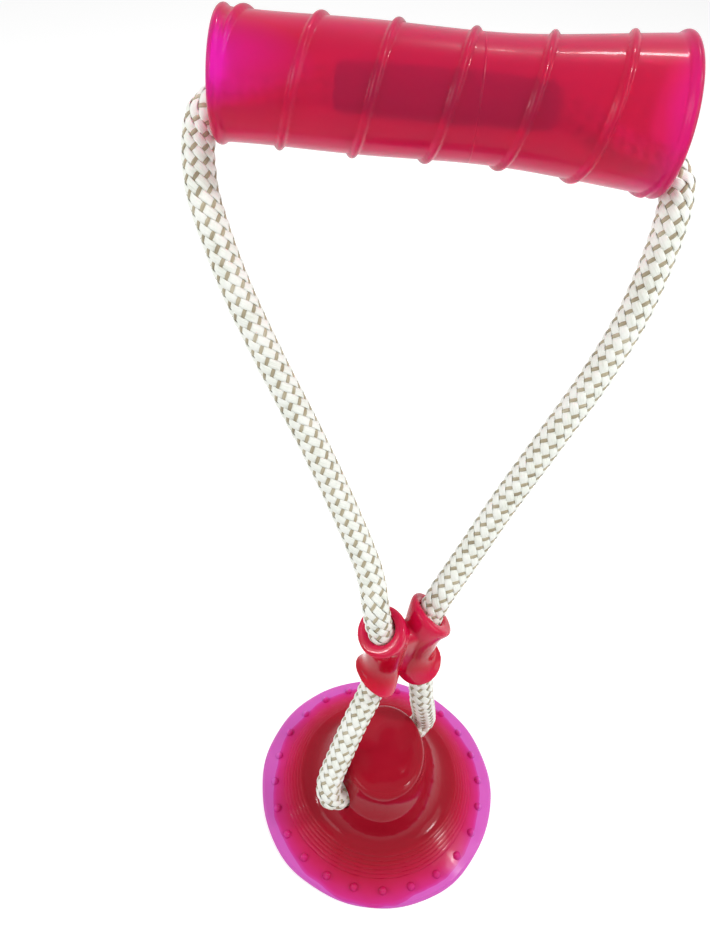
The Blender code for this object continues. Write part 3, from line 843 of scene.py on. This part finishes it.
def make_bead_rubber():
    material, tree, shader = new_material("clear_bead_rubber")
    place = place_from(tree, BEAD_PLACE)
    cloud = noise(tree, place, scale=90.0, detail=2.0)
    height = calculate(tree, "ABSOLUTE", split(tree, place)["Z"])
    from_waist = calculate(tree, "DIVIDE", height, WAIST_TO_MOUTH)
    spread = calculate(tree, "MULTIPLY_ADD", cloud, 0.3, from_waist)
    stops = ((0.2, linear(190, 4, 34)), (0.8, linear(212, 8, 50)), (1.15, linear(226, 20, 76)))
    fill_inputs(tree, shader, {
        "Base Color": colour_ramp(tree, spread, stops),
        "Roughness": spread_out(tree, cloud, (0.3, 0.7), (0.10, 0.16)),
        "IOR": 1.3, "Specular IOR Level": 0.2, "Transmission Weight": 0.2,
        "Coat Weight": 0.3, "Coat Roughness": 0.05, "Coat IOR": 1.4,
        "Subsurface Weight": 0.2, "Subsurface Radius": (1.0, 0.1, 0.2), "Subsurface Scale": 4.0 * MM})
    return material


bead_rubber = make_bead_rubber()
cover(bead, bead_rubber)
print("bead rubber has", len(bead_rubber.node_tree.nodes), "nodes")

# %% [markdown]
# The grip's rubber lets light through, so the rope and its dark sleeve show as a darker band inside.
# That is real transmission, not paint. A violet glow is painted on its left end, as painted light,
# most on the side that faces the front, and a little on its right end. The mould's parting line shows
# as a fine ring near the middle. The skin is satin, not glossy.

# %% Grip rubber
GRIP_LENGTH = 124.6 * MM
PAINTED_GLOW_FACING = (0.0, -0.79, 0.62)
PAINTED_GLOW_REACH = 80.0 * MM
CLOUD_REACH = 14.0 * MM
PARTING_PLACE = 8.2 * MM
PARTING_HALF_WIDTH = 0.35 * MM


def make_grip_rubber():
    material, tree, shader = new_material("clear_grip_rubber")
    place = place_from(tree, GRIP_PLACE)
    along = split(tree, place)["X"]
    cloud = noise(tree, place, scale=45.0, detail=1.0)
    uneven = calculate(tree, "MULTIPLY_ADD", calculate(tree, "SUBTRACT", cloud, 0.5), CLOUD_REACH, along)
    # Painted light: a violet glow on the left end, which fades on the side turned away from the front; a
    # little violet is also painted on the right end.
    from_right = calculate(tree, "SUBTRACT", 0.5, calculate(tree, "DIVIDE", along, GRIP_LENGTH))
    around = calculate_vector(tree, "NORMALIZE", calculate_vector(tree, "MULTIPLY", place, (0.0, 1.0, 1.0)))
    front = measure_vector(tree, "DOT_PRODUCT", around, PAINTED_GLOW_FACING)
    painted_glow_fade = calculate(tree, "MULTIPLY", calculate(tree, "SUBTRACT", 1.0, front), from_right)
    along_with_painted_glow = calculate(tree, "MULTIPLY_ADD", painted_glow_fade, PAINTED_GLOW_REACH, uneven)
    share = calculate(tree, "ADD", calculate(tree, "DIVIDE", along_with_painted_glow, GRIP_LENGTH), 0.5)
    stops = ((0.03, (0.84, 0.005, 0.46)), (0.11, (0.82, 0.005, 0.32)), (0.22, (0.77, 0.005, 0.12)),
             (0.95, (0.74, 0.005, 0.11)), (0.985, (0.78, 0.005, 0.20)))
    from_parting = calculate(tree, "ABSOLUTE", calculate(tree, "SUBTRACT", along, PARTING_PLACE))
    ridge = spread_out(tree, from_parting, (0.0, PARTING_HALF_WIDTH), (1.0, 0.0))
    grain = calculate(tree, "MULTIPLY_ADD", cloud, 0.3, ridge)
    fill_inputs(tree, shader, {
        "Base Color": colour_ramp(tree, share, stops),
        "Roughness": spread_out(tree, cloud, (0.3, 0.7), (0.28, 0.34)),
        "Normal": bumpy(tree, grain, strength=0.5, distance=0.3 * MM),
        "IOR": 1.22, "Specular IOR Level": 0.3, "Transmission Weight": 0.7,
        "Coat Weight": 0.25, "Coat Roughness": 0.06, "Coat IOR": 1.4})
    return material


grip_rubber = make_grip_rubber()
print("grip rubber has", len(grip_rubber.node_tree.nodes), "nodes")

# %% [markdown]
# The grip is a waisted tube with rolled ends and one rib that climbs round it as a long spiral.
# Its wall section is a closed loop of radius and height. Geometry Nodes sweep that loop round a
# circle, then lift the skin wherever it lies near the spiral, so pitch, width and height of the rib
# are single inputs. A separate rib laid on the tube would show a seam, and this one can't. The tube
# is made upright and laid down along X at the end.

# %% Grip section
GRIP_WAIST_RADIUS = 16.2 * MM
GRIP_WALL = 3.0 * MM
GRIP_FLARE = 4.2 * MM
FLARE_SHARES = ((0.0, 0.10), (0.1, 0.03), (0.22, 0.10), (0.33, 0.14), (0.47, 0.05), (0.58, 0.0),
                (0.68, 0.12), (0.78, 0.38), (0.87, 0.64), (0.94, 0.84), (1.0, 1.0))
FLARE_BLUR = 0.06
END_ROLL = 1.7 * MM
END_ROLL_PROUD = 0.9 * MM
END_ROLL_OUT = 0.2 * MM
END_INSET = 4.2 * MM
OUTER_ROWS = 290
INNER_ROWS = 50


def grip_radius(share):
    """Outer radius of the tube at a share of its length from the left end."""
    around = np.clip(np.linspace(share - FLARE_BLUR, share + FLARE_BLUR, 9), 0.0, 1.0)
    return GRIP_WAIST_RADIUS + GRIP_FLARE * float(np.mean(np.interp(around, *zip(*FLARE_SHARES))))


def roll(end):
    """The rolled end's points from its outer side round the tip to its inner side."""
    share = 1.0 if end > 0 else 0.0
    centre = (grip_radius(share) - GRIP_WALL / 2 + END_ROLL_OUT, end * (GRIP_LENGTH / 2 - END_ROLL))
    reach = GRIP_WALL / 2 + END_ROLL_PROUD - END_ROLL_OUT
    angles = np.linspace(math.radians(-50), math.radians(230), 22)
    return [(centre[0] + reach * math.cos(a), centre[1] + end * END_ROLL * math.sin(a)) for a in angles]


def grip_section():
    top = GRIP_LENGTH / 2 - END_INSET
    outer = [(grip_radius(h / GRIP_LENGTH + 0.5), h) for h in np.linspace(top, -top, OUTER_ROWS)]
    inner = [(grip_radius(h / GRIP_LENGTH + 0.5) - GRIP_WALL, h)
             for h in np.linspace(-top, top, INNER_ROWS)]
    return outer + roll(-1) + inner + roll(1)[::-1]


section = grip_section()
print("grip section has", len(section), "points")

# %% Grip tree
SPIRAL = {"Steps": 176, "Rib pitch": 20.4 * MM, "Rib width": 2.4 * MM, "Rib height": 1.15 * MM,
          "Rib start": 7.4 * MM, "Start angle": math.radians(69.4), "Length": GRIP_LENGTH}
RIB_ROUNDNESS = 0.55
RIB_FADE_LEFT = (2.2 * MM, 4.6 * MM)
RIB_FADE_RIGHT = (3.0 * MM, 4.6 * MM)
SWEEP_RADIUS = 10.0 * MM
FACES_OUT_FROM = 0.2


def rib_lift(tree, sizes, place):
    """How far the skin is lifted: an arch across the rib, which fades at the tube's two ends."""
    angle = calculate(tree, "ARCTAN2", calculate(tree, "MULTIPLY", place["X"], -1.0), place["Y"])
    along = calculate(tree, "MULTIPLY_ADD", sizes["Length"], 0.5, place["Z"])
    turns = calculate(tree, "DIVIDE", calculate(tree, "SUBTRACT", sizes["Start angle"], angle), math.tau)
    crest = calculate(tree, "MULTIPLY_ADD", turns, sizes["Rib pitch"], sizes["Rib start"])
    half_pitch = calculate(tree, "MULTIPLY", sizes["Rib pitch"], 0.5)
    away = calculate(tree, "WRAP", calculate(tree, "SUBTRACT", along, crest), half_pitch,
                     calculate(tree, "MULTIPLY", half_pitch, -1.0))
    nearness = calculate(tree, "DIVIDE", calculate(tree, "ABSOLUTE", away),
                         calculate(tree, "MULTIPLY", sizes["Rib width"], 0.5))
    below_crest = calculate(tree, "SUBTRACT", 1.0, calculate(tree, "POWER", nearness, 2.0))
    inside = calculate(tree, "MAXIMUM", below_crest, 0.0)
    arch = calculate(tree, "MULTIPLY", calculate(tree, "POWER", inside, RIB_ROUNDNESS), sizes["Rib height"])
    from_left = spread_out(tree, along, RIB_FADE_LEFT, (0.0, 1.0))
    to_right = calculate(tree, "SUBTRACT", sizes["Length"], along)
    from_right = spread_out(tree, to_right, RIB_FADE_RIGHT, (0.0, 1.0))
    return calculate(tree, "MULTIPLY", arch, calculate(tree, "MULTIPLY", from_left, from_right))


def make_spiral_tree():
    tree, sizes, result = new_geometry_tree("spiral_ribbed_tube", SPIRAL)
    circle = add_node(tree, "GeometryNodeCurvePrimitiveCircle",
                      {"Resolution": sizes["Steps"], "Radius": SWEEP_RADIUS}, mode="RADIUS").outputs[0]
    loop = add_node(tree, "GeometryNodeMeshToCurve", {"Mesh": sizes["Geometry"]}).outputs[0]
    turned = add_node(tree, "GeometryNodeCurveToMesh", {"Curve": circle, "Profile Curve": loop}).outputs[0]
    place = split(tree, add_node(tree, "GeometryNodeInputPosition").outputs[0])
    radial = calculate_vector(tree, "NORMALIZE", combine(tree, place["X"], place["Y"]))
    normal = add_node(tree, "GeometryNodeInputNormal").outputs["Normal"]
    facing = measure_vector(tree, "DOT_PRODUCT", normal, radial)
    outside = calculate(tree, "GREATER_THAN", facing, FACES_OUT_FROM)
    offset = scale_vector(tree, radial, rib_lift(tree, sizes, place))
    ribbed = add_node(tree, "GeometryNodeSetPosition",
                      {"Geometry": turned, "Selection": outside, "Offset": offset}).outputs[0]
    tree.links.new(smooth_and_cover(tree, ribbed, grip_rubber), result["Geometry"])
    return tree


spiral_tree = make_spiral_tree()
print("spiral tree has", len(spiral_tree.nodes), "nodes")

# %% Grip
loop_points = [(radius - SWEEP_RADIUS, -height, 0.0) for radius, height in section]
loop_edges = [(i, (i + 1) % len(section)) for i in range(len(section))]
grip = run_tree(add_mesh_object("grip_tube", loop_points, [], loop_edges), spiral_tree, SPIRAL)
face_outwards(grip)
grip.data.transform(GRIP_FRAME)
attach(grip, "grip_tube")
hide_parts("grip")
print("grip has", measure(grip))

# %% [markdown]
# Inside the grip, a shrink tube joins the rope's two ends. It only shows as a shadow through the
# wall and at the mouths, so it is a plain turned tube with a slight swell over the splice.

# %% Splice sleeve
SLEEVE_STEPS = 64
SLEEVE_SHARP_DEGREES = 40
SLEEVE_WALL = 1.7 * MM
SLEEVE_SWELL = 0.3 * MM
SLEEVE_SWELL_TURN = 2.4
SLEEVE_SWELL_SINK = 0.35 * MM
SLEEVE_END_FROM = 0.94
SLEEVE_END_DRAW = 0.6 * MM


def sleeve_radius(share):
    """Outer radius at a share of the half length: it swells in the middle and draws in at the ends."""
    swell = SLEEVE_SWELL * math.cos(share * SLEEVE_SWELL_TURN) - SLEEVE_SWELL_SINK
    drawn_in = SLEEVE_END_DRAW * max(0.0, abs(share) - SLEEVE_END_FROM) / (1.0 - SLEEVE_END_FROM)
    return ROPE_DIAMETER / 2 + GAP + SLEEVE_WALL + swell - drawn_in


def sleeve_section():
    half = SLEEVE_LENGTH / 2
    outer = [(sleeve_radius(h / half), h) for h in np.linspace(half, -half, 60)]
    inner = [(ROPE_DIAMETER / 2 + GAP, h) for h in np.linspace(-half, half, 6)]
    return outer + inner + outer[:1]


def make_shrink_tube():
    material, tree, shader = new_material("dark_shrink_tube")
    place = calculate_vector(tree, "MULTIPLY", place_from(tree), (1.0, 6.0, 6.0))
    crease_relief_and_shade = noise(tree, place, scale=120.0, detail=3.0)
    # Painted shade: the crease valleys of the bump are painted darker than its ridges.
    stops = ((0.3, (0.03, 0.03, 0.035)), (0.7, (0.07, 0.065, 0.07)))
    fill_inputs(tree, shader, {
        "Base Color": colour_ramp(tree, crease_relief_and_shade, stops),
        "Roughness": spread_out(tree, crease_relief_and_shade, (0.0, 1.0), (0.35, 0.6)),
        "Normal": bumpy(tree, crease_relief_and_shade, strength=0.4, distance=0.3 * MM)})
    return material


sleeve = turned_shell("shrink_sleeve", sleeve_section(), SLEEVE_STEPS)
sleeve.data.transform(GRIP_FRAME)
cover(sleeve, make_shrink_tube())
shade(sleeve, SLEEVE_SHARP_DEGREES)
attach(sleeve, "rope_loop")
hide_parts("splice_sleeve")
print("sleeve has", measure(sleeve))

# %% [markdown]
# A pale floor and soft light from all round. The background is white because the floor and the
# world show white to the camera, and not because more light falls on the object. The light on it
# stays at a plain level, so each colour renders about as it is written.

# %% Floor
FLOOR_PAINT = (0.84, 0.84, 0.84, 1.0)
FLOOR_SEEN_GLOW = 0.40
WHITE = (1.0, 1.0, 1.0, 1.0)


def seen_directly(tree):
    """1 for rays from the camera, off a glossy skin or through clear rubber, and otherwise 0."""
    ray = add_node(tree, "ShaderNodeLightPath").outputs
    bent = calculate(tree, "MAXIMUM", ray["Is Glossy Ray"], ray["Is Transmission Ray"])
    return calculate(tree, "MAXIMUM", ray["Is Camera Ray"], bent)


floor = add_mesh_object("floor", [(-3, -3, 0), (3, -3, 0), (3, 3, 0), (-3, 3, 0)], [(0, 1, 2, 3)])
floor_paint, floor_tree, floor_shader = new_material("pale_floor")
fill_inputs(floor_tree, floor_shader, {
    "Base Color": FLOOR_PAINT, "Roughness": 1.0, "Specular IOR Level": 0.0, "Emission Color": WHITE,
    "Emission Strength": calculate(floor_tree, "MULTIPLY", seen_directly(floor_tree), FLOOR_SEEN_GLOW)})
floor.data.materials.append(floor_paint)
print("floor:", measure(floor))

# %% [markdown]
# Three small lamps give the highlights: a key from the right, one from above and behind for the
# boss and the grip, and a narrow one from the left. Two wide, weak ones fill the shadows at the
# sides. Lamps far larger than the toy would wash the colours of clear rubber out.

# %% World and lamps
WORLD_LIGHT = 0.52
LAMPS = (("key_softbox", (0.655, -0.058, 1.04), (0.0, 0.0, 0.1), 0.11, 0.17, 3.4),
         ("top_softbox", (0.19, 0.45, 1.18), (0.0, 0.0, 0.1), 0.18, 0.08, 2.4),
         ("left_softbox", (-0.75, -0.1, 0.55), (0.0, 0.0, 0.1), 0.03, 0.20, 1.2),
         ("left_fill", (-0.42, -0.30, 0.50), (0.0, 0.0, 0.16), 0.30, 0.30, 0.9),
         ("right_fill", (0.42, -0.12, 0.36), (0.0, 0.0, 0.16), 0.25, 0.35, 0.6))

world = bpy.data.worlds.new("soft_studio")
bpy.context.scene.world = world
world.use_nodes = True
sky = world.node_tree
fill_inputs(sky, sky.nodes["Background"], {
    "Color": WHITE,
    "Strength": calculate(sky, "MULTIPLY_ADD", seen_directly(sky), 1.0 - WORLD_LIGHT, WORLD_LIGHT)})

for name, place, target, width, height, power in LAMPS:
    light = bpy.data.lights.new(name, "AREA")
    light.shape = "RECTANGLE"
    light.size = width
    light.size_y = height
    light.energy = power
    lamp = add_object(name, light)
    lamp.location = place
    lamp.rotation_euler = (Vector(target) - Vector(place)).to_track_quat("-Z", "Y").to_euler()
